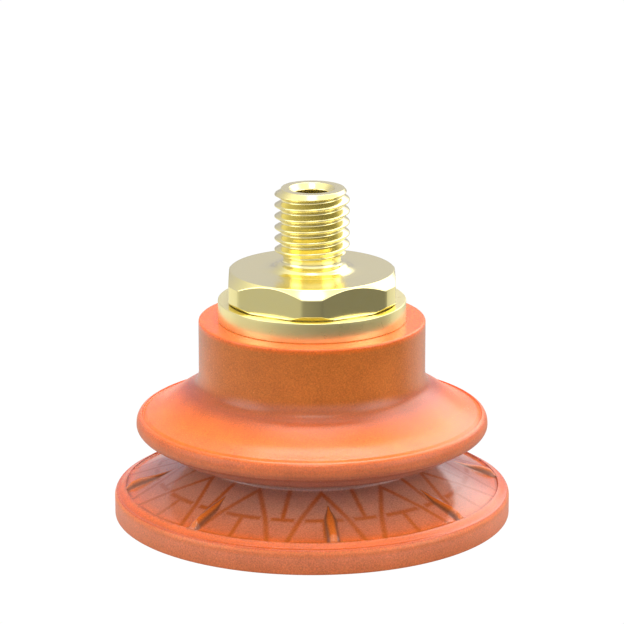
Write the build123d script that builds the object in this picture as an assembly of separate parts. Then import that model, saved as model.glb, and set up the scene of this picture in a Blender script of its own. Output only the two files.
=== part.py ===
from build123d import *
import os
from math import atan2, cos, degrees, hypot, radians, sin

# Vacuum suction cup with one and a half folds and a brass male fitting.
# Millimetres, +Z up. The origin is on the cup's axis, in the plane of the sealing edge.

# ---- driving dimensions: moulded cup ----
LIP_D = 53.0            # over the sealing lip
LIP_BAND_H = 2.8        # upright outer band of the lip
LIP_EDGE_W = 0.9        # width of the flat sealing edge
BEAD_W = 1.7            # rounded rim that stiffens the lip
BEAD_TOP_Z = 3.5
BEAD_LEAD_H = 0.2       # the skirt meets the bead this much above the bead's top
BEAD_ROUND = 1.0        # size of the bead's rounded outer shoulder
SKIRT_T = 1.5
WAIST_D = 30.8          # bottom of the outside groove between the two folds
WAIST_Z = 7.9
WAIST_FLARE = 1.1       # radial depth of the groove's rounded bottom
GROOVE_UPPER_H = 0.75   # height of its rounded bottom above and below the waist
GROOVE_LOWER_H = 0.7
RIDGE_D = 47.0          # over the bellows ridge
RIDGE_Z = 12.6          # height of its widest line
RIDGE_NOSE_W = 1.1      # from the edge where the shoulder cone ends out to the widest line
RIDGE_NOSE_H = 1.35
RIDGE_UNDER_W = 0.9     # from the widest line in to the rounded lower edge
RIDGE_UNDER_H = 1.3
FOLD_W = 3.7            # from the widest line in to the knee of the lower fold wall
FOLD_H = 3.3
SHOULDER_FLARE = 1.2    # radial size of the hollow between the collar and the shoulder cone
SHOULDER_DROP = 2.2
COLLAR_D = 30.2
COLLAR_FOOT_Z = 19.6    # lower end of the collar's straight side
COLLAR_TOP_Z = 26.7
COLLAR_WEB_T = 4.5      # clamped web at the top of the collar
COLLAR_BORE_D = 16.0    # hole through the web
WALL = 1.7              # bellows wall

# ---- driving dimensions: skirt ribs and grip cleats ----
RIB_COUNT = 8
RIB_FIRST_DEG = 6.5     # from the front, -Y, towards +X
RIB_L = 5.2
RIB_W = 1.5
RIB_H = 0.8
CLEAT_COUNT = 12
CLEAT_FIRST_DEG = 4.4
CLEAT_W = 0.6
CLEAT_H = 0.5
CLEAT_MID_W = 4.4       # from the skirt's root out to the ring of bars half way

# ---- driving dimensions: brass fitting ----
FLANGE_D = 25.0
FLANGE_T = 2.7
FLANGE_CHAMFER = 0.25
HEX_AF = 22.0
HEX_H = 4.1
HEX_CORNER_D = 24.0     # the hexagon's corners are turned down to this
HEX_TOP_D = 21.8        # flat circle inside the top chamfer
WASHER_FACE_D = 22.0
WASHER_FACE_H = 0.12
BOSS_D = 9.3
BOSS_H = 0.7
BOSS_CHAMFER = 0.3
NECK_D = 7.6
NECK_H = 1.5
THREAD_D = 10.0
THREAD_L = 8.8
THREAD_CHAMFER = 0.7
BORE_D = 4.7
COUNTERSINK_D = 6.1
STEM_D = 12.0
NUT_T = 2.8
NUT_D = 22.4
NUT_BARREL_GAP = 0.1
NUT_POCKET_GAP = 0.3
SPANNER_HOLE_D = 2.6
SPANNER_HOLE_DEPTH = 1.4
SEAL_W = 2.0            # radial width of the ring in the flange's counterbore
SEAL_H = 1.6
STEM_SEAL_H = 1.2       # ring round the stem, above the nut's barrel

# ---- driving dimensions: strainer ----
SCREEN_D = 14.6
SCREEN_T = 0.35
SCREEN_HOLE_D = 1.0
SCREEN_PITCH = 1.5
SCREEN_ROOM = 0.4       # between the strainer and the end of the stem
CLIP_W = 1.2
CLIP_T = 0.5
CLIP_SETBACK = 0.4      # from the nut's lower face up to the snap ring
CLIP_GROOVE = 0.35
CLIP_GAP_DEG = 40.0

# ---- driving dimensions: clearances between the moving zones ----
TILT_GAP = 0.15         # between the two ball-shaped tilt joints' faces
TILT_DROP = 0.5         # the tilt centre, below the waist
WAIST_RING_W = 1.7      # from the waist out to the inner ball face, about the tilt centre
THROAT_W = 1.6
RIDGE_RING_W = 2.5      # from the widest line in to the cylinder that parts the ridge from both walls
FOLD_ROOT_W = 1.85      # from the waist out to the cylinder that parts it from the lower fold wall
CROWN_RISE = 0.6        # from the shoulder up to the plane that parts the collar from the upper wall

# ---- worked out from the sizes above ----
LIP_R = LIP_D / 2
BEAD_R = LIP_R - BEAD_W
COLLAR_R = COLLAR_D / 2
WAIST_R = WAIST_D / 2
RIDGE_R = RIDGE_D / 2
WEB_Z = COLLAR_TOP_Z - COLLAR_WEB_T
FLANGE_Z = COLLAR_TOP_Z
HEX_Z = FLANGE_Z + FLANGE_T
HEX_TOP_Z = HEX_Z + HEX_H
BOSS_TOP_Z = HEX_TOP_Z + BOSS_H
THREAD_Z = BOSS_TOP_Z + NECK_H
TOP_Z = THREAD_Z + THREAD_L
NUT_Z = WEB_Z - NUT_T
NUT_BARREL_R = COLLAR_BORE_D / 2 - NUT_BARREL_GAP
STEM_R = STEM_D / 2
SCREEN_POCKET_R = SCREEN_D / 2
CLIP_Z = NUT_Z + CLIP_SETBACK
SCREEN_Z = CLIP_Z + CLIP_T
STEM_END_Z = SCREEN_Z + SCREEN_T + SCREEN_ROOM
TILT_CENTRE = (0, 0, WAIST_Z - TILT_DROP)
TILT_R = WAIST_R + WAIST_RING_W
FOLD_OUTER_R = RIDGE_R - RIDGE_RING_W
FOLD_INNER_R = WAIST_R + FOLD_ROOT_W
CROWN_Z = COLLAR_FOOT_Z - SHOULDER_DROP + CROWN_RISE
GROOVE_Z = WAIST_Z + 0.1
BIG = LIP_D * 2


def polar(r, deg):
    """Point at radius r and an azimuth counted from the front, -Y, towards +X."""
    return (r * sin(radians(deg)), -r * cos(radians(deg)))


def turned(points):
    """Solid of revolution about Z of a closed outline of (radius, height) points."""
    outline = Polyline(*[(r, 0, z) for r, z in points], close=True)
    return revolve(make_face(outline), Axis.Z, 360)


def tube(outer_r, inner_r, z, height):
    body = Cylinder(outer_r, height, align=(Align.CENTER, Align.CENTER, Align.MIN))
    if inner_r:
        body -= Cylinder(inner_r, height, align=(Align.CENTER, Align.CENTER, Align.MIN))
    return Pos(0, 0, z) * body


def arc_points(start, bulge, end, count=8):
    """Points of the quadratic curve from start to end that leaves and arrives towards bulge."""
    steps = [i / count for i in range(count + 1)]
    return [tuple((1 - t) ** 2 * a + 2 * t * (1 - t) * b + t * t * c
                  for a, b, c in zip(start, bulge, end)) for t in steps]


def beside(p, q, distance):
    """The line p to q moved sideways by distance, to the right of its direction."""
    length = hypot(q[0] - p[0], q[1] - p[1])
    dr, dz = (q[1] - p[1]) / length * distance, -(q[0] - p[0]) / length * distance
    return (p[0] + dr, p[1] + dz), (q[0] + dr, q[1] + dz)


def crossing(line_a, line_b):
    (x1, y1), (x2, y2) = line_a
    (x3, y3), (x4, y4) = line_b
    d = (x1 - x2) * (y3 - y4) - (y1 - y2) * (x3 - x4)
    a, b = x1 * y2 - y1 * x2, x3 * y4 - y3 * x4
    return ((a * (x3 - x4) - (x1 - x2) * b) / d, (a * (y3 - y4) - (y1 - y2) * b) / d)


# ---- the cup's meridian, as (radius, height) ----
SHOULDER = (COLLAR_R + SHOULDER_FLARE, COLLAR_FOOT_Z - SHOULDER_DROP)
RIDGE_TOP = (RIDGE_R - RIDGE_NOSE_W, RIDGE_Z + RIDGE_NOSE_H)
RIDGE_TIP = (RIDGE_R, RIDGE_Z)
RIDGE_UNDER = (RIDGE_R - RIDGE_UNDER_W, RIDGE_Z - RIDGE_UNDER_H)
FOLD_MID = (RIDGE_R - FOLD_W, RIDGE_Z - FOLD_H)
WAIST_TOP = (WAIST_R + WAIST_FLARE, WAIST_Z + GROOVE_UPPER_H)
WAIST = (WAIST_R, WAIST_Z)
SKIRT_ROOT = (WAIST_R + WAIST_FLARE, WAIST_Z - GROOVE_LOWER_H)
SKIRT_END = (BEAD_R, BEAD_TOP_Z + BEAD_LEAD_H)
CLEAT_MID_R = SKIRT_ROOT[0] + CLEAT_MID_W
RIB_INNER_R = BEAD_R - RIB_L


def skirt_top(r):
    """Height of the skirt's upper face at radius r."""
    slope = (SKIRT_END[1] - SKIRT_ROOT[1]) / (SKIRT_END[0] - SKIRT_ROOT[0])
    return SKIRT_ROOT[1] + slope * (r - SKIRT_ROOT[0])


SKIRT_UNDER = beside(SKIRT_ROOT, SKIRT_END, SKIRT_T)


def skirt_under(r):
    """Height of the skirt's lower face at radius r."""
    (r0, z0), (r1, z1) = SKIRT_UNDER
    return z0 + (z1 - z0) / (r1 - r0) * (r - r0)


def cup_outside():
    """The cup's outside, from the top of the collar down to the sealing edge."""
    points = [(COLLAR_R, COLLAR_TOP_Z)]
    hollow = (COLLAR_R + 0.1, SHOULDER[1] + CROWN_RISE)
    points += arc_points((COLLAR_R, COLLAR_FOOT_Z), hollow, SHOULDER)
    points += arc_points(RIDGE_TOP, (RIDGE_R, RIDGE_TOP[1] - RIDGE_NOSE_H / 5), RIDGE_TIP)
    points += arc_points(RIDGE_TIP, (RIDGE_R, RIDGE_Z - RIDGE_UNDER_H / 2), RIDGE_UNDER)[1:]
    points += [FOLD_MID]
    points += arc_points(WAIST_TOP, (WAIST_R, WAIST_Z + GROOVE_UPPER_H / 2), WAIST, 4)
    points += arc_points(WAIST, (WAIST_R, WAIST_Z - GROOVE_LOWER_H / 2), SKIRT_ROOT, 4)[1:]
    points += [SKIRT_END]
    points += arc_points((LIP_R - BEAD_ROUND, BEAD_TOP_Z), (LIP_R, BEAD_TOP_Z), (LIP_R, LIP_BAND_H), 5)
    return points + [(LIP_R, 0)]


def cup_inside():
    """The cup's inside, from the sealing edge up to the hole in the collar's web."""
    upper = beside(RIDGE_TOP, SHOULDER, -WALL)
    lower_outer = beside(FOLD_MID, RIDGE_UNDER, -WALL)
    lower_inner = beside(WAIST_TOP, FOLD_MID, -WALL)
    pocket_r = NUT_D / 2 + NUT_POCKET_GAP
    crown = crossing(upper, ((pocket_r, 0), (pocket_r, 1)))
    nose = crossing(upper, lower_outer)
    knee = crossing(lower_outer, lower_inner)
    waist = (WAIST_R - WALL, WAIST_Z)
    root, end = SKIRT_UNDER
    points = [(LIP_R - LIP_EDGE_W, 0), end, root, waist, lower_inner[0], knee, nose, crown]
    return points + [(pocket_r, WEB_Z), (COLLAR_BORE_D / 2, WEB_Z), (COLLAR_BORE_D / 2, COLLAR_TOP_Z)]


def cup():
    return turned(cup_outside() + cup_inside())


def ball(radius):
    return Pos(*TILT_CENTRE) * Sphere(radius)


def below(z):
    """Everything below height z."""
    return Pos(0, 0, z) * Box(BIG, BIG, BIG, align=(Align.CENTER, Align.CENTER, Align.MAX))


def above(z):
    return Pos(0, 0, z) * Box(BIG, BIG, BIG, align=(Align.CENTER, Align.CENTER, Align.MIN))


# ---- zones of the moulded cup ----
def cup_zones():
    """The one moulding, parted where it bends: rigid rings and the two walls that fold between them."""
    whole = cup()
    upper_half = whole & above(GROOVE_Z)
    lower_half = whole & below(GROOVE_Z)
    outer = tube(BIG / 2, FOLD_OUTER_R, -BIG / 2, BIG)
    core = tube(FOLD_OUTER_R, 0, -BIG / 2, BIG)
    hub = tube(FOLD_INNER_R, 0, GROOVE_Z, RIDGE_Z - GROOVE_Z)
    collar = whole & above(CROWN_Z)
    ridge = upper_half & outer
    fold_walls = (upper_half & core & below(CROWN_Z)) - hub
    walls = sorted(fold_walls.solids(), key=lambda s: s.center().Z)
    waist = (upper_half & hub) + (lower_half & ball(TILT_R))
    throat = (lower_half & ball(TILT_R + TILT_GAP + THROAT_W)) - ball(TILT_R + TILT_GAP)
    lip = lower_half - ball(TILT_R + THROAT_W + 2 * TILT_GAP)
    rim = tube(BIG / 2, BEAD_R, -1, BIG)
    return {"cup_collar": collar, "upper_fold_wall": walls[-1], "bellows_ridge": ridge,
            "lower_fold_wall": walls[0], "waist_ring": waist, "skirt_throat": throat,
            "lip_skirt": lip - rim, "lip_bead": lip & rim}


def skirt_ribs():
    """Radial ribs on the skirt, pointed at the waist end and widest at the bead."""
    rise = skirt_top(BEAD_R) + RIB_H
    layer = turned([(RIB_INNER_R, skirt_top(RIB_INNER_R)), (BEAD_R, skirt_top(BEAD_R)), (BEAD_R, rise)])
    tip_w = RIB_W / 10
    plan = make_face(Polyline((RIB_INNER_R - 1, -tip_w), (BEAD_R + 1, -RIB_W / 2),
                              (BEAD_R + 1, RIB_W / 2), (RIB_INNER_R - 1, tip_w), close=True))
    blade = extrude(plan, BEAD_TOP_Z * 4)
    pitch = 360 / RIB_COUNT
    turns = [RIB_FIRST_DEG - 90 + i * pitch for i in range(RIB_COUNT)]
    return Compound([(Rot(0, 0, turn) * blade & layer).solid() for turn in turns])


def cleat_layer():
    """The skin under the skirt that the grip cleats are cut from."""
    inner = TILT_R + THROAT_W + 2 * TILT_GAP + CLEAT_W
    outer = SKIRT_UNDER[1][0]
    return turned([(inner, skirt_under(inner)), (outer, skirt_under(outer)),
                   (outer, skirt_under(outer) - CLEAT_H), (inner, skirt_under(inner) - CLEAT_H)])


def bar(start, end, width=CLEAT_W):
    """An upright bar, seen from above as a straight strip between two points."""
    (x1, y1), (x2, y2) = start, end
    length = hypot(x2 - x1, y2 - y1)
    strip = Box(length, width, SKIRT_ROOT[1], align=(Align.CENTER, Align.CENTER, Align.MIN))
    return Pos((x1 + x2) / 2, (y1 + y2) / 2, 0) * Rot(0, 0, degrees(atan2(y2 - y1, x2 - x1))) * strip


def ring_bar(r, from_deg, to_deg, width=CLEAT_W):
    """An upright bar that follows a circle of radius r between two azimuths."""
    ring = tube(r + width / 2, r - width / 2, 0, SKIRT_ROOT[1])
    (ax, ay), (bx, by) = polar(BIG, from_deg), polar(BIG, to_deg)
    wedge = extrude(make_face(Polyline((0, 0), (ax, ay), (bx, by), close=True)), SKIRT_ROOT[1])
    return ring & wedge


def cleat_plans():
    """One period of the cleats, about the front: the diagonal legs, and the bars between them."""
    half = 180 / CLEAT_COUNT
    outer_r = SKIRT_UNDER[1][0] - CLEAT_W
    foot, knee = polar(SKIRT_ROOT[0], 1.4), polar(CLEAT_MID_R, half * 0.58)
    reach = (outer_r + 1.2 - SKIRT_ROOT[0]) / (CLEAT_MID_R - SKIRT_ROOT[0])
    tip = tuple(a + (b - a) * reach for a, b in zip(foot, knee))
    legs = [bar(foot, tip), bar((-foot[0], foot[1]), (-tip[0], tip[1]))]
    outer_bar = bar(polar(CLEAT_MID_R, 0), polar(outer_r, 0))
    outer_bar += ring_bar(CLEAT_MID_R, -half * 0.42, half * 0.42)
    outer_bar += ring_bar(outer_r - CLEAT_W / 2, -half * 0.55, half * 0.55)
    inner_bar = bar(polar(SKIRT_ROOT[0], half), polar(CLEAT_MID_R, half))
    inner_bar += ring_bar(CLEAT_MID_R, half * 0.76, half * 1.24)
    return legs, [outer_bar, inner_bar]


def around(shapes):
    pitch = 360 / CLEAT_COUNT
    turns = [CLEAT_FIRST_DEG + i * pitch for i in range(CLEAT_COUNT)]
    return Compound([Rot(0, 0, turn) * s for turn in turns for shape in shapes for s in shape.solids()])


def grip_cleats():
    layer = cleat_layer()
    legs, bars = cleat_plans()
    return around([leg & layer for leg in legs]), around([b & layer for b in bars])


# ---- brass fitting ----
def threaded_nipple():
    """Male thread, neck, boss, hexagon and the stem that runs down through the cup, in one turning."""
    root_r = THREAD_D / 2
    profile = [(STEM_R, STEM_END_Z), (STEM_R, HEX_Z), (WASHER_FACE_D / 2, HEX_Z),
               (WASHER_FACE_D / 2, HEX_Z + WASHER_FACE_H),
               (HEX_CORNER_D / 2, HEX_Z + WASHER_FACE_H + HEX_CORNER_D / 2 - WASHER_FACE_D / 2),
               (HEX_CORNER_D / 2, HEX_TOP_Z - (HEX_CORNER_D - HEX_TOP_D) / 2),
               (HEX_TOP_D / 2, HEX_TOP_Z), (BOSS_D / 2, HEX_TOP_Z),
               (BOSS_D / 2, BOSS_TOP_Z - BOSS_CHAMFER), (BOSS_D / 2 - BOSS_CHAMFER, BOSS_TOP_Z),
               (NECK_D / 2, BOSS_TOP_Z), (NECK_D / 2, THREAD_Z - (root_r - NECK_D / 2) / 2),
               (root_r, THREAD_Z + (root_r - NECK_D / 2) / 2), (root_r, TOP_Z - THREAD_CHAMFER),
               (root_r - THREAD_CHAMFER, TOP_Z)]
    sink_z = TOP_Z - (COUNTERSINK_D - BORE_D) / 2
    bore = [(COUNTERSINK_D / 2, TOP_Z), (BORE_D / 2, sink_z), (BORE_D / 2, STEM_END_Z)]
    body = turned(profile + bore)
    prism = extrude(RegularPolygon(HEX_AF / 2, 6, major_radius=False), HEX_H)
    flats = tube(BIG / 4, 0, HEX_Z, HEX_H) - Pos(0, 0, HEX_Z) * Rot(0, 0, 90) * prism
    return body - flats



def clamp_flange():
    """Disc between the hexagon and the collar, with a counterbore for the stem seal."""
    disc = tube(FLANGE_D / 2, STEM_R, FLANGE_Z, FLANGE_T)
    rim = disc.edges().filter_by(GeomType.CIRCLE).group_by(Axis.Z)[-1].sort_by(SortBy.RADIUS)[-1]
    disc = chamfer(rim, FLANGE_CHAMFER)
    return disc - tube(STEM_R + SEAL_W, 0, HEX_Z - SEAL_H, SEAL_H)


def ring_seal(inner_r, width, z, height):
    """A squeezed seal ring that fills its groove, with rounded corners."""
    ring = tube(inner_r + width, inner_r, z, height)
    return fillet(ring.edges().filter_by(GeomType.CIRCLE), min(width, height) * 0.3)


def retaining_nut():
    """Nut inside the cup that draws the collar's web up against the flange."""
    barrel_top = FLANGE_Z - STEM_SEAL_H
    nut = tube(NUT_D / 2, STEM_R, NUT_Z, NUT_T) + tube(NUT_BARREL_R, STEM_R, WEB_Z, barrel_top - WEB_Z)
    nut -= tube(SCREEN_POCKET_R, 0, NUT_Z, SCREEN_Z + SCREEN_T - NUT_Z)
    nut -= tube(SCREEN_POCKET_R + CLIP_GROOVE, 0, CLIP_Z, CLIP_T)
    hole_r = (NUT_D / 2 + SCREEN_POCKET_R) / 2 + CLIP_GROOVE / 2
    for side in (-1, 1):
        nut -= Pos(side * hole_r, 0, NUT_Z) * tube(SPANNER_HOLE_D / 2, 0, 0, SPANNER_HOLE_DEPTH)
    return nut


def filter_screen():
    """Perforated strainer disc that keeps grit out of the vacuum line."""
    rings = int((SCREEN_POCKET_R - CLIP_W - SCREEN_HOLE_D / 2) / SCREEN_PITCH)
    hole = tube(SCREEN_HOLE_D / 2, 0, SCREEN_Z, SCREEN_T)
    holes = [hole]
    for ring in range(1, rings + 1):
        count = 6 * ring
        holes += [Pos(*polar(ring * SCREEN_PITCH, 360 / count * i), 0) * hole for i in range(count)]
    return tube(SCREEN_POCKET_R, 0, SCREEN_Z, SCREEN_T) - holes


def filter_clip():
    """Snap ring that holds the strainer in the nut."""
    outer_r = SCREEN_POCKET_R + CLIP_GROOVE
    ring = tube(outer_r, SCREEN_POCKET_R - CLIP_W, CLIP_Z, CLIP_T)
    (ax, ay), (bx, by) = polar(BIG, -CLIP_GAP_DEG / 2), polar(BIG, CLIP_GAP_DEG / 2)
    gap = extrude(make_face(Polyline((0, 0), (ax, ay), (bx, by), close=True)), CLIP_T)
    return ring - Pos(0, 0, CLIP_Z) * gap


def build():
    parts = cup_zones()
    legs, bars = grip_cleats()
    parts.update({
        "skirt_ribs": skirt_ribs(), "cleat_legs": legs, "cleat_bars": bars,
        "threaded_nipple": threaded_nipple(), "clamp_flange": clamp_flange(),
        "flange_seal": ring_seal(STEM_R, SEAL_W, HEX_Z - SEAL_H, SEAL_H),
        "stem_seal": ring_seal(STEM_R, NUT_BARREL_R - STEM_R, FLANGE_Z - STEM_SEAL_H, STEM_SEAL_H),
        "retaining_nut": retaining_nut(), "filter_screen": filter_screen(), "filter_clip": filter_clip(),
    })
    return parts


os.makedirs("parts", exist_ok=True)
for name, shape in build().items():
    export_step(shape, f"parts/{name}.step")
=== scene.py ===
"""Looks of the vacuum suction cup: the moulded polyurethane cup and its turned brass fitting.

Lengths below are millimetres and become metres as each mesh is made. Azimuths are degrees from
the front, -Y, towards +X.
"""
import math

import bpy
import numpy as np
from mathutils import Euler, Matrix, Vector


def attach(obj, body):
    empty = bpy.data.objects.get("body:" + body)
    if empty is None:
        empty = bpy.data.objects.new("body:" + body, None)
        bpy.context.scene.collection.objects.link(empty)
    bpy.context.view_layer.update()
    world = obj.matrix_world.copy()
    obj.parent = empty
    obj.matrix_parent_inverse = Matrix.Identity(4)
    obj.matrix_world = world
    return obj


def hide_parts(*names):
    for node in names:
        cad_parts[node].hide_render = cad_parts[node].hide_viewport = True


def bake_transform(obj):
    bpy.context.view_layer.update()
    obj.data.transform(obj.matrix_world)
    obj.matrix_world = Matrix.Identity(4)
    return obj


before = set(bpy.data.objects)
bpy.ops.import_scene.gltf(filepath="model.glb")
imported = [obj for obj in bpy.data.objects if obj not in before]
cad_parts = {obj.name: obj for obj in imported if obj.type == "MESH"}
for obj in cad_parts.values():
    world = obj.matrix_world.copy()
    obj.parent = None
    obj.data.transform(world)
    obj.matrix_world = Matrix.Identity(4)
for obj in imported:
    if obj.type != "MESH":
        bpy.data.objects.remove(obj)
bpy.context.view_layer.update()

MM = 0.001
TURNS = 432             # columns round a moulded surface
BRASS_TURNS = 288
SHARP = 35.0            # edges turning more than this many degrees are creased
BRASS_SHARP = 20.0


# ---------------------------------------------------------------- outlines and meshes
def smooth(t):
    t = np.clip(t, 0.0, 1.0)
    return t * t * (3 - 2 * t)


def outline(corners, step, arc=5):
    """Closed outline through corners (radius, height, rounding), as an array of points.

    Each corner may also be an array, one value per column. A rounding is cut down to half of the
    shorter side that meets the corner."""
    width = max(np.size(v) for c in corners for v in c[:2])
    pts = np.array([[np.broadcast_to(v, width) for v in c[:2]] for c in corners], float)
    pts = pts.transpose(2, 0, 1)
    count = len(corners)
    ends = []
    for k in range(count):
        p, a, b = pts[:, k], pts[:, k - 1], pts[:, (k + 1) % count]
        la = np.maximum(np.linalg.norm(a - p, axis=1), 1e-9)[:, None]
        lb = np.maximum(np.linalg.norm(b - p, axis=1), 1e-9)[:, None]
        cut = np.minimum(np.minimum(la, lb) * 0.5, corners[k][2])
        t1, t2 = p + (a - p) / la * cut, p + (b - p) / lb * cut
        ts = np.linspace(0, 1, arc + 1)[:, None, None]
        ends.append((1 - ts) ** 2 * t1 + 2 * ts * (1 - ts) * p + ts ** 2 * t2)
    rows = []
    for k in range(count):
        rows.extend(ends[k])
        start, stop = ends[k][-1], ends[(k + 1) % count][0]
        length = np.linalg.norm(stop - start, axis=1).max()
        pieces = max(1, int(np.ceil(length / step)))
        rows.extend(start + (stop - start) * i / pieces for i in range(1, pieces))
    return np.array(rows).transpose(1, 0, 2)


def spin(name, columns, turns, sharp=SHARP, normals=None):
    """Closed ring mesh from one outline per column, spun about the cup's axis. Where normals aren't
    zero, they are the surface's own."""
    columns = np.broadcast_to(columns, (turns,) + columns.shape[1:])
    keep = np.abs(columns - np.roll(columns, 1, axis=1)).max(axis=(0, 2)) > 1e-5
    columns = columns[:, keep]
    n, m = columns.shape[:2]
    azimuth = np.arange(n) * 2 * np.pi / n
    r, z = columns[..., 0], columns[..., 1]
    xyz = np.stack([r * np.sin(azimuth)[:, None], -r * np.cos(azimuth)[:, None], z], axis=-1)
    index = np.arange(n * m).reshape(n, m)
    right, up = np.roll(index, -1, axis=0), np.roll(index, -1, axis=1)
    quads = np.stack([index, up, np.roll(right, -1, axis=1), right], axis=-1).reshape(-1, 4)
    if (r[0] * np.roll(z[0], -1) - np.roll(r[0], -1) * z[0]).sum() > 0:
        quads = quads[:, ::-1]
    mesh = bpy.data.meshes.new(name)
    mesh.from_pydata((xyz.reshape(-1, 3) * MM).tolist(), [], quads.tolist())
    mesh.polygons.foreach_set("use_smooth", np.ones(len(quads), bool))
    mesh.set_sharp_from_angle(angle=np.radians(sharp))
    if normals is not None:
        mesh.normals_split_custom_set_from_vertices(normals[:, keep].reshape(-1, 3).tolist())
    obj = bpy.data.objects.new(name, mesh)
    bpy.context.collection.objects.link(obj)
    rest = mesh.attributes.new("rest", "FLOAT_VECTOR", "POINT")
    rest.data.foreach_set("vector", xyz.ravel().astype(np.float32))
    return obj, xyz.reshape(-1, 3)


def azimuths(turns):
    return np.arange(turns) * 360.0 / turns


def to_nearest(azimuth, first, pitch):
    """Signed angle from the nearest of the evenly spaced azimuths."""
    return (azimuth - first + pitch / 2) % pitch - pitch / 2


# ---------------------------------------------------------------- the cup's meridian
COLLAR_R = 15.1
RIDGE_FOOT = (22.6, 11.3)
RIDGE_HEART = (21.42, 12.55)
WAIST_OUT = (15.4, 7.9)
WAIST_IN = (13.7, 7.9)
SEAM_OUT = (17.97, 6.58)
SEAM_IN = (17.8, 5.02)
SKIRT_END = (24.8, 3.7)
SKIRT_SLOPE = (3.7 - 7.2) / (24.8 - 16.5)
SKIRT_AXIS_Z = SKIRT_END[1] - SKIRT_SLOPE * SKIRT_END[0]    # where the skirt's line meets the axis
UNDER_END = (24.22, 2.32)
LIP_R = 26.5
TILT_Z = 7.4
FULL = 99.0             # a corner rounded as far as its sides allow


def cup_upper():
    """Collar, shoulder cone and bellows ridge."""
    return outline([
        (8.0, 26.7, 0.2), (COLLAR_R, 26.7, 0.32), (COLLAR_R, 22.0, 0),
        (COLLAR_R, 19.2, FULL), (15.45, 18.05, FULL), (16.3, 17.38, FULL), (17.4, 16.8, FULL),
        (18.7, 15.95, FULL), (20.2, 14.85, FULL), (21.2, 14.34, FULL), (22.1, 13.97, 0.1),
        (22.53, 13.63, 0.06), (22.64, 13.66, 0.05), (22.74, 13.86, 0.04), (23.02, 13.72, 0.1),
        (23.25, 13.50, FULL), (23.45, 13.05, FULL), (23.5, 12.6, FULL), (23.5, 12.15, FULL),
        (23.2, 11.65, FULL), (*RIDGE_FOOT, 0),
        (*RIDGE_HEART, 0), (11.5, 18.16, 0.8), (11.5, 22.2, 0.3), (8.0, 22.2, 0.2)], 0.32)


def cup_fold():
    """From the ridge in to the waist."""
    return outline([
        (*RIDGE_FOOT, 0), (21.55, 10.85, FULL), (19.9, 9.6, FULL), (18.2, 9.1, FULL), (16.3, 8.7, FULL),
        (15.4, 8.3, FULL), (*WAIST_OUT, 0), (*WAIST_IN, 0), (14.6, 9.6, FULL), (16.17, 10.32, FULL),
        (19.11, 10.9, FULL), (*RIDGE_HEART, 0)], 0.3)


def cup_throat():
    """From the waist out to the root of the skirt."""
    return outline([
        (*WAIST_OUT, 0), (15.45, 7.6, FULL), (15.9, 7.4, FULL), (16.6, 7.16, FULL), (*SEAM_OUT, 0),
        (*SEAM_IN, 0), (15.92, 5.82, 0.5), (14.3, 6.9, FULL), (*WAIST_IN, 0)], 0.3)


def cup_lip():
    """Skirt, bead and sealing edge."""
    return outline([
        (*SEAM_OUT, 0), (24.6, 3.79, 0.12), (24.9, 3.72, 0.05), (25.02, 3.94, 0.03), (25.3, 3.79, 0.06),
        (25.85, 3.38, 0.15), (26.25, 3.24, 0.12), (LIP_R, 2.8, FULL), (LIP_R, 1.6, 0.1),
        (LIP_R, 0.0, 0.2), (25.6, 0.0, 0.1), (*UNDER_END, 0.5), (*SEAM_IN, 0)], 0.2)


# ---------------------------------------------------------------- ribs and grip cleats
RIB_FIRST, RIB_PITCH = 6.5, 45.0
CLEAT_FIRST, CLEAT_PITCH = 4.4, 30.0
LEG_FOOT, LEG_SLOPE = (0.3, 16.3), 0.676
LEG_KNEE, LEG_BEND = 20.5, 0.136      # beyond the knee the legs run nearer to radial
CLEAT_MID_R, CLEAT_OUT_R = 20.8, 24.9


def rib_height(r, azimuth):
    """Height of the skirt's ribs over the skirt at each point."""
    off = to_nearest(azimuth, RIB_FIRST, RIB_PITCH)
    side = np.abs(r * np.sin(np.radians(off)))
    taper = np.clip((r - 18.1) / 3.0, 0, 1)
    half = 0.12 + 0.70 * smooth(taper)
    rise = 0.85 * np.clip((r - 18.4) / 4.8, 0, 1) ** 1.5 * (0.35 + 0.65 * smooth((25.1 - r) / 0.9))
    return rise * np.clip(1 - (side / half) ** 2, 0, 1)


def cleat_distance(r, azimuth):
    """Distance of each point from the middle line of the nearest cleat."""
    a = np.abs(to_nearest(azimuth, CLEAT_FIRST, CLEAT_PITCH))
    u, v = r * np.sin(np.radians(a)), r * np.cos(np.radians(a))
    run = LEG_FOOT[0] + LEG_SLOPE * (v - LEG_FOOT[1]) - LEG_BEND * np.maximum(v - LEG_KNEE, 0)
    leg = np.abs(u - run) / np.hypot(1, LEG_SLOPE)
    outer = np.maximum(u, CLEAT_MID_R - r)
    inner = np.maximum(r * np.sin(np.radians(15 - a)), r - CLEAT_MID_R)
    per_degree = r * np.pi / 180
    mid = np.maximum(np.abs(r - CLEAT_MID_R), np.minimum((a - 6.0), (11.6 - a)) * per_degree)
    rim = np.maximum(np.abs(r - CLEAT_OUT_R + 0.6), (a - 8.2) * per_degree)
    return np.minimum.reduce([leg, outer, inner, mid, rim])


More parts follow.
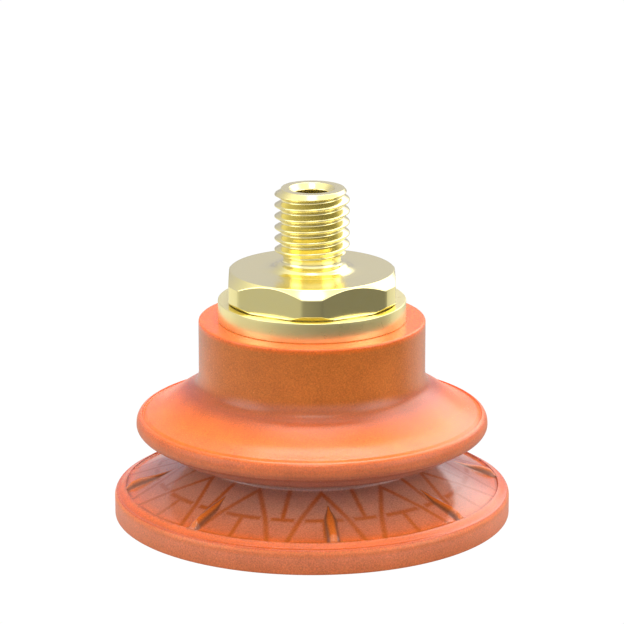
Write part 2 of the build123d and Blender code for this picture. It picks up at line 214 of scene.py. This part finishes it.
def shape_lip(columns, turns):
    """Raises the ribs on the skirt and drops the cleats below it."""
    columns = np.array(np.broadcast_to(columns, (turns,) + columns.shape[1:]))
    r, z = columns[..., 0], columns[..., 1]
    azimuth = azimuths(turns)[:, None]
    top = SKIRT_END[1] + SKIRT_SLOPE * (r - SKIRT_END[0])
    on_top = (r > 18.0) & (r < 24.95) & (np.abs(z - top) < 0.25)
    under = UNDER_END[1] + SKIRT_SLOPE * (r - UNDER_END[0])
    on_under = (r > 18.2) & (r < 24.1) & (np.abs(z - under) < 0.1)
    columns[..., 1] += np.where(on_top, rib_height(r, azimuth), 0)
    cleat = 0.45 * (1 - smooth((cleat_distance(r, azimuth) - 0.15) / 0.3))
    columns[..., 1] -= np.where(on_under, cleat * smooth((r - 18.2) / 0.6) * smooth((24.1 - r) / 0.3), 0)
    return columns


# ---------------------------------------------------------------- node materials
class Shader:
    """A material's node tree, with short calls for the nodes it is built from."""

    def __init__(self, name):
        self.material = bpy.data.materials.new(name)
        self.material.use_nodes = True
        self.tree = self.material.node_tree
        self.tree.nodes.clear()
        output = self.node("ShaderNodeOutputMaterial")
        self.bsdf = self.node("ShaderNodeBsdfPrincipled")
        self.link(self.bsdf.outputs[0], output.inputs[0])

    def node(self, kind, **settings):
        made = self.tree.nodes.new(kind)
        for key, value in settings.items():
            setattr(made, key, value)
        return made

    def link(self, source, target):
        self.tree.links.new(source, target)

    def feed(self, target, value):
        if isinstance(value, bpy.types.NodeSocket):
            self.link(value, target)
        else:
            target.default_value = value

    def math(self, operation, *values, clamp=False):
        made = self.node("ShaderNodeMath", operation=operation, use_clamp=clamp)
        for target, value in zip(made.inputs, values):
            self.feed(target, value)
        return made.outputs[0]

    def ramp(self, value, stops, interpolation="LINEAR"):
        made = self.node("ShaderNodeValToRGB")
        made.color_ramp.interpolation = interpolation
        elements = made.color_ramp.elements
        while len(elements) > 1:
            elements.remove(elements[-1])
        elements[0].position = stops[0][0]
        for position, _ in stops[1:]:
            elements.new(position)
        for element, (_, colour) in zip(elements, stops):
            element.color = (*colour, 1) if len(colour) == 3 else colour
        self.feed(made.inputs[0], value)
        return made.outputs[0]

    def mix(self, factor, a, b, blend="MIX"):
        made = self.node("ShaderNodeMix", data_type="RGBA", blend_type=blend, clamp_result=False)
        for target, value in zip((made.inputs[0], made.inputs[6], made.inputs[7]), (factor, a, b)):
            self.feed(target, (*value, 1) if isinstance(value, tuple) and len(value) == 3 else value)
        return made.outputs[2]

    def noise(self, vector, scale, detail=2.0, roughness=0.5):
        made = self.node("ShaderNodeTexNoise")
        self.link(vector, made.inputs["Vector"])
        made.inputs["Scale"].default_value = scale
        made.inputs["Detail"].default_value = detail
        made.inputs["Roughness"].default_value = roughness
        return made.outputs[0]

    def bump(self, height, distance, strength=1.0, after=None):
        made = self.node("ShaderNodeBump")
        self.feed(made.inputs["Strength"], strength)
        made.inputs["Distance"].default_value = distance * MM
        self.link(height, made.inputs["Height"])
        if after is not None:
            self.link(after, made.inputs["Normal"])
        return made.outputs[0]

    def set(self, **values):
        for key, value in values.items():
            self.feed(self.bsdf.inputs[key.replace("_", " ")], value)

    def rest(self):
        """Rest position in millimetres, which stays with the surface as it moves."""
        return self.node("ShaderNodeAttribute", attribute_name="rest").outputs["Vector"]

    def place(self):
        """Object position in millimetres, for the pieces that stay rigid."""
        coordinates = self.node("ShaderNodeTexCoord").outputs["Object"]
        made = self.node("ShaderNodeVectorMath", operation="SCALE")
        self.link(coordinates, made.inputs[0])
        made.inputs["Scale"].default_value = 1 / MM
        return made.outputs[0]

    def polar(self, vector):
        """(radius, azimuth in degrees from the front, height) of a position."""
        parts = self.node("ShaderNodeSeparateXYZ")
        self.link(vector, parts.inputs[0])
        x, y, z = parts.outputs
        r = self.math("SQRT", self.math("ADD", self.math("MULTIPLY", x, x), self.math("MULTIPLY", y, y)))
        azimuth = self.math("DEGREES", self.math("ARCTAN2", x, self.math("MULTIPLY", y, -1.0)))
        return r, azimuth, z

    def from_nearest(self, azimuth, first, pitch):
        """Angle in degrees from the nearest of the evenly spaced azimuths."""
        turned = self.math("MODULO", self.math("ADD", azimuth, 360.0 - first + pitch / 2), pitch)
        return self.math("ABSOLUTE", self.math("SUBTRACT", turned, pitch / 2))

    def fade(self, value, start, end):
        """0 before start and 1 after end, turning smoothly between them."""
        made = self.node("ShaderNodeMapRange", interpolation_type="SMOOTHSTEP")
        for target, v in zip(made.inputs, (value, start, end, 0.0, 1.0)):
            self.feed(target, v)
        return made.outputs[0]


def cleat_mask(s, r, azimuth, wobble):
    """Shader version of cleat_distance, as a mask that is 1 on the cleats."""
    a = s.from_nearest(azimuth, CLEAT_FIRST, CLEAT_PITCH)
    rad = s.math("RADIANS", a)
    u, v = (s.math("MULTIPLY", r, s.math(f, rad)) for f in ("SINE", "COSINE"))
    reach = s.math("MULTIPLY", s.math("SUBTRACT", v, LEG_FOOT[1]), LEG_SLOPE)
    past = s.math("MAXIMUM", s.math("SUBTRACT", v, LEG_KNEE), 0.0)
    reach = s.math("SUBTRACT", reach, s.math("MULTIPLY", past, LEG_BEND))
    leg = s.math("ABSOLUTE", s.math("SUBTRACT", s.math("SUBTRACT", u, LEG_FOOT[0]), reach))
    leg = s.math("DIVIDE", leg, float(np.hypot(1, LEG_SLOPE)))
    outer = s.math("MAXIMUM", u, s.math("SUBTRACT", CLEAT_MID_R, r))
    to_inner = s.math("SINE", s.math("RADIANS", s.math("SUBTRACT", 15.0, a)))
    inner = s.math("MAXIMUM", s.math("MULTIPLY", r, to_inner), s.math("SUBTRACT", r, CLEAT_MID_R))
    per_degree = s.math("MULTIPLY", r, float(np.pi / 180))
    gap = s.math("MINIMUM", s.math("SUBTRACT", a, 6.0), s.math("SUBTRACT", 11.6, a))
    mid_r = s.math("ABSOLUTE", s.math("SUBTRACT", r, CLEAT_MID_R))
    mid = s.math("MAXIMUM", mid_r, s.math("MULTIPLY", gap, per_degree))
    rim_r = s.math("ABSOLUTE", s.math("SUBTRACT", r, CLEAT_OUT_R))
    rim = s.math("MAXIMUM", rim_r, s.math("MULTIPLY", s.math("SUBTRACT", a, 9.5), per_degree))
    nearest = leg
    for other in (outer, inner, mid, rim):
        nearest = s.math("MINIMUM", nearest, other)
    nearest = s.math("ADD", nearest, s.math("MULTIPLY", s.math("SUBTRACT", wobble, 0.5), 0.25))
    return s.math("SUBTRACT", 1.0, s.fade(nearest, 0.08, 0.55))


# Colour of the cup by height, as a fraction of WALL_TOP: the lip's edge, its bead with painted shade
# along its outer rounding, and skirt, the waist in the shadow of the groove as painted shade, the ridge,
# the cone, the collar's foot darkened with painted shade where it meets the cone, the collar and its top.
WALL_TOP = 30.0
WALL_TINT_AND_SHADE = [
    (0.0, (0.60, 0.145, 0.034)), (0.07, (0.70, 0.200, 0.080)), (0.100, (0.70, 0.17, 0.032)),
    (0.108, (0.60, 0.095, 0.006)), (0.122, (0.72, 0.13, 0.014)), (0.140, (0.56, 0.150, 0.060)),
    (0.20, (0.52, 0.21, 0.12)), (0.30, (0.46, 0.21, 0.14)), (0.375, (0.56, 0.22, 0.13)),
    (0.41, (0.60, 0.160, 0.05)), (0.45, (0.60, 0.120, 0.012)), (0.465, (0.80, 0.165, 0.022)),
    (0.50, (0.86, 0.175, 0.014)), (0.545, (0.72, 0.130, 0.008)), (0.575, (0.44, 0.075, 0.007)),
    (0.61, (0.42, 0.090, 0.009)), (0.64, (0.52, 0.140, 0.018)), (0.67, (0.56, 0.165, 0.024)),
    (0.86, (0.53, 0.152, 0.020)), (0.885, (0.82, 0.15, 0.008))]
# Painted shade: the crease's deeper, more saturated orange at the top of the ridge.
CREASE_R, CREASE_SHADE_COLOUR = 22.40, (0.92, 0.16, 0.004)
# Painted shade: the darker line along the bead's outer rounding.
BRIM_R, BRIM_SHADE_COLOUR = 26.15, (0.56, 0.110, 0.028)
CLEAT_COLOUR = (0.42, 0.085, 0.008)
# Painted shade at the ribs' feet and painted light on their crests.
RIB_FOOT_SHADE, RIB_CREST_LIGHT = (0.22, 0.072, 0.028), (0.60, 0.140, 0.018)


def polyurethane():
    """Translucent orange polyurethane: colour by how thick the wall is at each height, with painted shade
    at the collar's foot, in the groove, along the crease and along the bead's outer rounding, a fine
    moulded grain, the darker lines where the cleats thicken the skirt, and painted shade at the ribs'
    feet with painted light on their crests."""
    s = Shader("cup_polyurethane")
    rest = s.rest()
    r, azimuth, z = s.polar(rest)
    cloud = s.noise(rest, 0.22, 3.0)
    grain = s.noise(rest, 5.0, 3.0, 0.6)
    # Colour by height, with painted shade at the collar's foot, along the bead's outer rounding and in
    # the groove.
    base = s.ramp(s.math("DIVIDE", z, WALL_TOP), WALL_TINT_AND_SHADE)
    skirt = s.math("MULTIPLY", s.fade(z, 8.0, 7.4), s.fade(r, 25.4, 24.9))
    # Painted shade along the crease at the top of the ridge.
    crease_shade = s.math("MULTIPLY", s.fade(s.math("ABSOLUTE", s.math("SUBTRACT", r, CREASE_R)), 0.34, 0.22),
                    s.fade(z, 13.4, 13.6))
    base = s.mix(crease_shade, base, CREASE_SHADE_COLOUR)
    # Painted shade along the bead's outer rounding.
    brim_shade = s.math("MULTIPLY", s.fade(s.math("ABSOLUTE", s.math("SUBTRACT", r, BRIM_R)), 0.22, 0.05),
                  s.fade(z, 2.8, 3.0))
    base = s.mix(brim_shade, base, BRIM_SHADE_COLOUR)
    lines = s.math("MULTIPLY", cleat_mask(s, r, azimuth, grain), skirt)
    off_rib = s.from_nearest(azimuth, RIB_FIRST, RIB_PITCH)
    side = s.math("MULTIPLY", r, s.math("SINE", s.math("RADIANS", off_rib)))
    clear = s.math("MAXIMUM", s.fade(side, 0.6, 0.85), s.fade(r, 20.5, 19.0))
    lines = s.math("MULTIPLY", lines, clear)
    lines = s.math("MULTIPLY", lines, s.math("MULTIPLY_ADD", cloud, 0.9, 0.35), clamp=True)
    base = s.mix(lines, base, CLEAT_COLOUR)
    half = s.math("MULTIPLY_ADD", s.fade(r, 18.1, 21.1), 0.70, 0.12)
    across = s.math("DIVIDE", side, half)
    above = s.math("SUBTRACT", z, s.math("MULTIPLY_ADD", r, SKIRT_SLOPE, SKIRT_AXIS_Z))
    on_rib = s.math("MULTIPLY", s.math("MULTIPLY", skirt, s.fade(r, 17.9, 18.5)),
                    s.fade(above, -0.5, -0.2))
    # Painted shade at each rib's foot, then painted light on its crest.
    for outer, inner, colour in ((1.3, 0.75, RIB_FOOT_SHADE), (0.85, 0.30, RIB_CREST_LIGHT)):
        base = s.mix(s.math("MULTIPLY", on_rib, s.fade(across, outer, inner)), base, colour)
    mottle = s.math("MULTIPLY_ADD", s.math("MULTIPLY_ADD", grain, 3.0, cloud), 0.38, 0.24)
    shade = s.node("ShaderNodeCombineColor")
    for target in shade.inputs:
        s.link(mottle, target)
    base = s.mix(1.0, base, shade.outputs[0], "MULTIPLY")
    matt = s.math("MAXIMUM", s.fade(r, 26.25, 26.45),
                  s.math("MULTIPLY", s.fade(r, 23.1, 23.4), s.fade(z, 9.0, 10.0)))
    gloss = s.math("MULTIPLY_ADD", skirt, -0.09, 0.16)
    rough = s.math("ADD", s.math("MULTIPLY_ADD", grain, 0.16, gloss), s.math("MULTIPLY", matt, 0.22))
    coarse = s.math("MULTIPLY_ADD", matt, 0.5, s.math("MULTIPLY_ADD", skirt, -0.3, 0.5))
    s.set(Base_Color=base, Roughness=rough, IOR=1.5, Subsurface_Weight=0.35,
          Subsurface_Scale=0.7 * MM, Subsurface_Radius=(1.0, 0.32, 0.12),
          Normal=s.bump(grain, 0.020, coarse, s.bump(cloud, 0.05, 0.4)))
    return s.material


def brass(name, turned=1.0, rough=0.11):
    """Pale machined brass with fine rings from the lathe. turned scales how deep the rings are."""
    s = Shader(name)
    place = s.place()
    r, _, z = s.polar(place)
    wear = s.noise(place, 0.8, 4.0)
    rings = s.node("ShaderNodeCombineXYZ")
    s.link(r, rings.inputs[0])
    s.link(z, rings.inputs[2])
    lathe = s.noise(rings.outputs[0], 9.0, 3.0, 0.7)
    fine = s.noise(place, 22.0, 2.0)
    colour = s.mix(wear, (1.0, 0.87, 0.36), (0.93, 0.84, 0.41))
    s.set(Base_Color=colour, Metallic=1.0,
          Roughness=s.math("MULTIPLY_ADD", s.math("ADD", wear, fine), 0.07, rough),
          Normal=s.bump(lathe, 0.006 * turned, 0.5, s.bump(fine, 0.002, 0.4)))
    return s.material


def stainless():
    s = Shader("stainless")
    place = s.place()
    wear = s.noise(place, 1.2, 4.0)
    fine = s.noise(place, 18.0, 2.0)
    s.set(Base_Color=s.mix(wear, (0.62, 0.61, 0.58), (0.72, 0.71, 0.69)), Metallic=1.0,
          Roughness=s.math("MULTIPLY_ADD", fine, 0.2, 0.22), Normal=s.bump(fine, 0.004, 0.5))
    return s.material


def rubber():
    s = Shader("seal_rubber")
    place = s.place()
    dust = s.noise(place, 2.0, 4.0)
    s.set(Base_Color=s.mix(dust, (0.018, 0.018, 0.02), (0.045, 0.044, 0.045)),
          Roughness=s.math("MULTIPLY_ADD", dust, 0.25, 0.5), Normal=s.bump(dust, 0.02, 0.4))
    return s.material


# ---------------------------------------------------------------- brass pieces
THREAD_PITCH, THREAD_R, THREAD_DEPTH = 1.5, 4.98, 0.9
THREAD_LOW = 35.45
THREAD_LEFT_CREST = 36.22       # height of a crest at the left, -X
HEXAGON_FLATS, HEXAGON_ROUND = 11.0, 12.0       # radius to the flats, and of the round blank


def hexagon_radius(azimuth):
    off = to_nearest(azimuth, 30.0, 60.0)
    return np.minimum(HEXAGON_ROUND, HEXAGON_FLATS / np.cos(np.radians(off)))


def nipple_columns(turns):
    azimuth = azimuths(turns)
    hexagon = hexagon_radius(azimuth)
    foot = np.minimum(hexagon, 11.4)
    low, high = 29.5 + (hexagon - foot), 33.5 - (hexagon - 10.87)
    columns = outline([
        (2.35, 21.05, 0.1), (6.0, 21.05, 0.3), (6.0, 29.4, 0.05), (10.85, 29.4, 0.03),
        (10.85, 29.5, 0.03), (foot, 29.5, 0.03), (hexagon, low, 0.06), (hexagon, high, 0.1),
        (10.87, 33.5, 0.1), (6.9, 33.5, 0), (5.7, 33.55, FULL), (5.0, 33.82, FULL),
        (4.72, 34.12, FULL), (4.45, 34.32, FULL), (3.95, 34.42, FULL), (3.8, 34.75, FULL),
        (3.8, 35.3, 0.3), (4.0, 35.55, 0.2), (THREAD_R, 36.15, 0.05), (THREAD_R, 43.68, 0.1),
        (4.30, 44.5, 0.06), (3.05, 44.5, 0.06), (2.35, 43.8, 0.1)], 0.05)
    return thin(columns)


def thin(columns):
    """Drops rows where neither the thread nor a rounded edge needs them."""
    r, z = columns[0, :, 0], columns[0, :, 1]
    threaded = (z > THREAD_LOW) & (r > 3.7)
    step = np.hypot(*(columns - np.roll(columns, 1, axis=1)).max(axis=0).T)
    straight = np.abs(step - np.roll(step, -1)) < 1e-4
    keep = threaded | ~straight | (np.arange(len(r)) % 9 == 0)
    return columns[:, keep]


def thread_radius(azimuth, z):
    """Radius of the right-hand helix: flats at crest and root, 60 degree flanks, rounded edges."""
    turn = (z - THREAD_LEFT_CREST) / THREAD_PITCH - (azimuth + 90) / 360.0
    off = np.abs(turn - np.round(turn)) * THREAD_PITCH
    run = (off - 0.10) * np.sqrt(3)
    soft = 0.05
    run = soft * np.logaddexp(0, run / soft)
    return THREAD_R - THREAD_DEPTH + soft * np.logaddexp(0, (THREAD_DEPTH - run) / soft)


def cut_thread(columns):
    """Cuts the helix into the plain cylinder of the thread. Also returns the surface normals there."""
    columns = np.array(columns)
    azimuth = azimuths(len(columns))[:, None]
    r, z = columns[..., 0], columns[..., 1]
    cut = thread_radius(azimuth, z)
    where = (z > THREAD_LOW) & (r > 3.75) & (cut < r) & (cut > 3.8)
    columns[..., 0] = np.where(where, cut, r)
    e = 0.004
    dz = (thread_radius(azimuth, z + e) - thread_radius(azimuth, z - e)) / (2 * e)
    turn = np.radians(azimuth)
    da = (thread_radius(azimuth + e, z) - thread_radius(azimuth - e, z)) / np.radians(2 * e) / cut
    out = np.stack([np.sin(turn) - da * np.cos(turn), -np.cos(turn) - da * np.sin(turn), -dz], axis=-1)
    out /= np.linalg.norm(out, axis=-1, keepdims=True)
    return columns, np.where(where[..., None], out, 0.0)


def flange_columns():
    return outline([
        (6.0, 26.7, 0.1), (12.5, 26.7, 0.1), (12.5, 29.4, 0.12), (8.0, 29.4, 0.1), (8.0, 27.8, 0.1),
        (6.0, 27.8, 0.1)], 0.5)


# ---------------------------------------------------------------- pieces
def follow(obj, weights):
    """Bakes obj's transform into its mesh. weights is not used."""
    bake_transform(obj)


def make_cup():
    skin = polyurethane()

    def piece(name, columns, a, b, weigh, *nodes):
        obj, points = spin(name, columns, max(TURNS, len(columns)))
        r = np.hypot(points[:, 0], points[:, 1])
        follow(obj, weigh(r, points[:, 2]))
        obj.data.materials.append(skin)
        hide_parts(*nodes)
        return obj

    piece("cup_upper", cup_upper(), "fitting", "ridge",
          lambda r, z: np.where(z > 18.0, 0, smooth((r - 16.2) / 4.9)),
          "cup_collar", "upper_fold_wall", "bellows_ridge")
    piece("cup_fold", cup_fold(), "ridge", "waist", lambda r, z: smooth((21.2 - r) / 4.2),
          "lower_fold_wall", "waist_ring")
    piece("cup_throat", cup_throat(), "waist", "throat",
          lambda r, z: smooth((np.hypot(r, z - TILT_Z) - 15.45) / 2.45), "skirt_throat")
    piece("cup_lip", shape_lip(cup_lip(), 2 * TURNS), "throat", "lip",
          lambda r, z: smooth((np.hypot(r, z - TILT_Z) - 18.0) / 3.2),
          "lip_skirt", "lip_bead", "skirt_ribs", "cleat_legs", "cleat_bars")


def make_fitting():
    nipple, normals = cut_thread(nipple_columns(BRASS_TURNS))
    for name, columns, own, finish, node in (
            ("brass_nipple", nipple, normals, brass("brass_turned"), "threaded_nipple"),
            ("brass_flange", flange_columns(), None, brass("brass_flange", rough=0.22), "clamp_flange")):
        obj, _ = spin(name, columns, BRASS_TURNS, BRASS_SHARP, own)
        obj.data.materials.append(finish)
        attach(obj, "fitting")
        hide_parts(node)
    for finish, nodes in ((brass("brass_nut", 1.5), ["retaining_nut"]),
                          (stainless(), ["filter_screen", "filter_clip"]),
                          (rubber(), ["flange_seal", "stem_seal"])):
        for node in nodes:
            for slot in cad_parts[node].material_slots:
                slot.material = finish


# ---------------------------------------------------------------- studio
DOME_R = 2.4            # metres


def pale(name):
    """Evenly lit white paper."""
    material = bpy.data.materials.new(name)
    material.use_nodes = True
    tree = material.node_tree
    tree.nodes.clear()
    light = tree.nodes.new("ShaderNodeEmission")
    light.inputs["Color"].default_value = (1, 1, 1, 1)
    light.inputs["Strength"].default_value = 1.02
    out = tree.nodes.new("ShaderNodeOutputMaterial")
    tree.links.new(light.outputs[0], out.inputs[0])
    return material


def make_stage():
    """A white dome all round. The world's light reaches the object through it."""
    n = 96
    turn = np.arange(n) * 2 * np.pi / n
    ring = np.stack([np.cos(turn), np.sin(turn), np.zeros(n)], axis=-1) * DOME_R
    lifts = np.radians(np.arange(-84, 85, 6))
    rows = [ring * [np.cos(e), np.cos(e), 0] + [0, 0, DOME_R * np.sin(e)] for e in lifts]
    points = np.concatenate(rows + [[[0, 0, -DOME_R], [0, 0, DOME_R]]])
    low, top = len(points) - 2, (len(lifts) - 1) * n
    faces = [[k * n + i, k * n + (i + 1) % n, (k + 1) * n + (i + 1) % n, (k + 1) * n + i]
             for k in range(len(lifts) - 1) for i in range(n)]
    faces += [[(i + 1) % n, i, low] for i in range(n)]
    faces += [[top + i, top + (i + 1) % n, low + 1] for i in range(n)]
    mesh = bpy.data.meshes.new("studio_dome")
    mesh.from_pydata(points.tolist(), [], faces)
    mesh.materials.append(pale("studio_white"))
    dome = bpy.data.objects.new(mesh.name, mesh)
    bpy.context.collection.objects.link(dome)
    for ray in ("diffuse", "glossy", "transmission", "volume_scatter", "shadow"):
        setattr(dome, "visible_" + ray, False)


# Light over the height of a direction, from straight down at 0 to straight up at 1: its brightness, and
# how far it leans towards +X and +Y. Each softbox: direction, brightness, and the angles in degrees from
# that direction where its fade starts and ends.
LIGHT_LEVELS = [(0.0, 0.46), (0.46, 0.48), (0.51, 0.56), (0.60, 0.88), (0.70, 0.90), (0.80, 0.95),
                (0.90, 1.2), (1.0, 1.3)]
LIGHT_LEANS = [(0.0, -0.40, 0.50), (0.46, -0.40, 0.50), (0.53, 0.10, -0.31), (0.75, 0.10, -0.31),
               (0.92, 0.0, 0.0)]
LIGHT_SCALE = 5.0       # keeps the levels within a colour ramp's 0 to 1
SKYLIGHT = (0.5, 0.75, 1.25)        # the ramp's blue is raised by the last between the first two
SOFTBOXES = [((0.0, 0.33, 0.94), 5.6, 8, 20), ((0.0, -0.32, 0.95), 3.6, 6, 14),
             ((0.45, 0.62, 0.62), 2.8, 10, 34), ((-0.87, -0.30, 0.36), 2.4, 8, 30),
             ((0.87, -0.30, 0.36), 2.4, 8, 30), ((-0.76, 0.60, -0.24), 0.2, 8, 26),
             ((0.76, 0.60, -0.24), 0.5, 8, 26)]


def make_light():
    """Soft studio light from all round, dim from below in front, with softboxes behind, above and at
    the sides."""
    world = bpy.data.worlds.new("studio_light")
    bpy.context.scene.world = world
    world.use_nodes = True
    tree = world.node_tree
    nodes, links = tree.nodes, tree.links
    background = nodes["Background"]
    toward = nodes.new("ShaderNodeTexCoord").outputs["Generated"]
    direction = nodes.new("ShaderNodeSeparateXYZ")
    links.new(toward, direction.inputs[0])
    ramp = nodes.new("ShaderNodeValToRGB")
    height = nodes.new("ShaderNodeMapRange")
    height.inputs["From Min"].default_value = -1
    links.new(direction.outputs[2], height.inputs["Value"])
    links.new(height.outputs[0], ramp.inputs[0])
    lean = nodes.new("ShaderNodeValToRGB")
    links.new(height.outputs[0], lean.inputs[0])
    low, high, cool = SKYLIGHT
    greys = [(p, v / LIGHT_SCALE) for p, v in LIGHT_LEVELS]
    levels = [(p, v, v, v * (cool if low < p < high else 1)) for p, v in greys]
    leans = [(p, (x + 1) / 2, (y + 1) / 2, 0) for p, x, y in LIGHT_LEANS]
    for made, stops in ((ramp, levels), (lean, leans)):
        elements = made.color_ramp.elements
        while len(elements) < len(stops):
            elements.new(0.5)
        for element, (position, *colour) in zip(elements, stops):
            element.position = position
            element.color = (*colour, 1)
    flat = nodes.new("ShaderNodeCombineXYZ")
    links.new(direction.outputs[0], flat.inputs[0])
    links.new(direction.outputs[1], flat.inputs[1])
    weight = nodes.new("ShaderNodeVectorMath")
    weight.operation = "MULTIPLY_ADD"
    links.new(lean.outputs[0], weight.inputs[0])
    weight.inputs[1].default_value = (2 * LIGHT_SCALE,) * 3
    weight.inputs[2].default_value = (-LIGHT_SCALE,) * 3
    dot = nodes.new("ShaderNodeVectorMath")
    dot.operation = "DOT_PRODUCT"
    links.new(weight.outputs[0], dot.inputs[0])
    links.new(flat.outputs[0], dot.inputs[1])
    strength = nodes.new("ShaderNodeMath")
    strength.operation = "ADD"
    links.new(dot.outputs["Value"], strength.inputs[0])
    strength.inputs[1].default_value = LIGHT_SCALE
    links.new(ramp.outputs[0], background.inputs["Color"])
    links.new(strength.outputs[0], background.inputs["Strength"])
    total = background.outputs[0]
    for aim, level, inner, outer in SOFTBOXES:
        facing = nodes.new("ShaderNodeVectorMath")
        facing.operation = "DOT_PRODUCT"
        links.new(toward, facing.inputs[0])
        facing.inputs[1].default_value = Vector(aim).normalized()
        soft = nodes.new("ShaderNodeMapRange")
        soft.interpolation_type = "SMOOTHSTEP"
        soft.inputs["From Min"].default_value = math.cos(math.radians(outer))
        soft.inputs["From Max"].default_value = math.cos(math.radians(inner))
        soft.inputs["To Max"].default_value = level
        links.new(facing.outputs["Value"], soft.inputs["Value"])
        box = nodes.new("ShaderNodeBackground")
        links.new(soft.outputs[0], box.inputs["Strength"])
        both = nodes.new("ShaderNodeAddShader")
        links.new(total, both.inputs[0])
        links.new(box.outputs[0], both.inputs[1])
        total = both.outputs[0]
    links.new(total, nodes["World Output"].inputs["Surface"])


def make_camera():
    data = bpy.data.cameras.new("camera")
    data.sensor_width, data.lens = 36.0, 198.25
    data.clip_start, data.clip_end = 0.01, 10.0
    data.dof.use_dof = False
    camera = bpy.data.objects.new("camera", data)
    camera.location = (0.0, -0.440, 0.149352)
    camera.rotation_euler = Euler((np.radians(74.5274), 0.0, 0.0))
    bpy.context.collection.objects.link(camera)
    bpy.context.scene.camera = camera


make_camera()
make_stage()
make_light()
make_cup()
make_fitting()
bpy.context.scene.view_settings.view_transform = "Standard"
